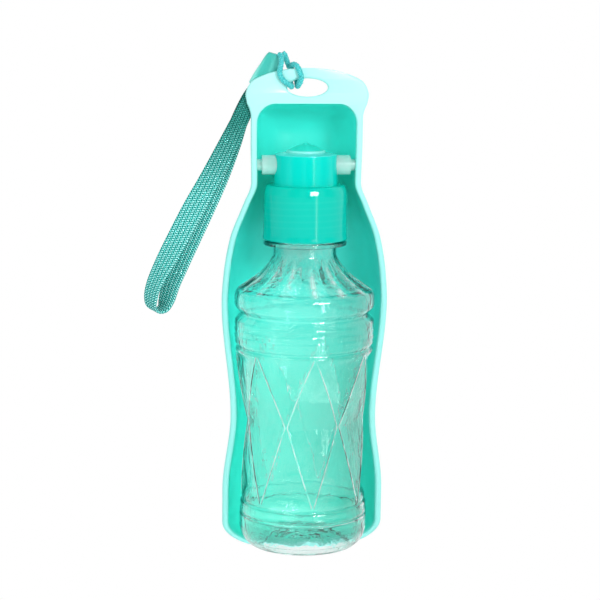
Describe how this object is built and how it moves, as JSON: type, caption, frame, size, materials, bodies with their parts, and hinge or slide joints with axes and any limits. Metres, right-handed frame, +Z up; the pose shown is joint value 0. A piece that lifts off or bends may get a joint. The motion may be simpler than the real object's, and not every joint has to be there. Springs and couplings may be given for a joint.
{
  "type": "pet travel water bottle",
  "caption": "Clear squeeze bottle with a screw cap and valve that swings in a leaf-shaped drinking trough, with a wrist strap.",
  "frame": {"origin": "middle of the box of the trough, cap and bottle, on the surface that the trough's flat lower end stands on", "axes": "+Z up along the bottle, -Y out of the open side of the trough, +X to the right seen from the open side"},
  "size_m": [0.1254, 0.0762, 0.2602],
  "materials": {
    "trough": "gloss, slightly translucent",
    "spindle": "translucent gloss",
    "seal": "matte",
    "cap": "gloss, slightly translucent",
    "dome": "satin",
    "gasket": "matte",
    "bottle": "clear gloss",
    "cord": "braided",
    "sleeve": "satin",
    "webbing": "braided"
  },
  "bodies": {
    "trough": {"trough": "trough", "valve_spindle": "spindle", "spindle_seal_left": "seal", "spindle_seal_right": "seal", "strap_cord": "cord", "strap_sleeve": "sleeve", "strap_webbing": "webbing"},
    "cap": {"screw_cap": "cap", "outlet_dome": "dome"},
    "mouth_seal": {"cap_gasket": "gasket"},
    "bottle": {"bottle": "bottle"}
  },
  "joints": [
    {"name": "bottle_swing", "type": "hinge", "parent": "trough", "child": "cap", "pos_m": [0, -0.002, 0.2026], "axis": [-1, 0, 0], "range_deg": [0, 120]},
    {"name": "bottle_unscrew", "type": "hinge", "parent": "cap", "child": "mouth_seal", "pos_m": [0, -0.002, 0.1888], "axis": [0, 0, -1], "range_deg": [0, 118]},
    {"name": "bottle_thread_travel", "type": "slide", "parent": "mouth_seal", "child": "bottle", "axis": [0, 0, -1], "range_m": [0, 0.00102]}
  ],
  "couplings": [
    {"joint": "bottle_unscrew", "follows": "bottle_thread_travel", "rad_per_m": 1976.3}
  ]
}
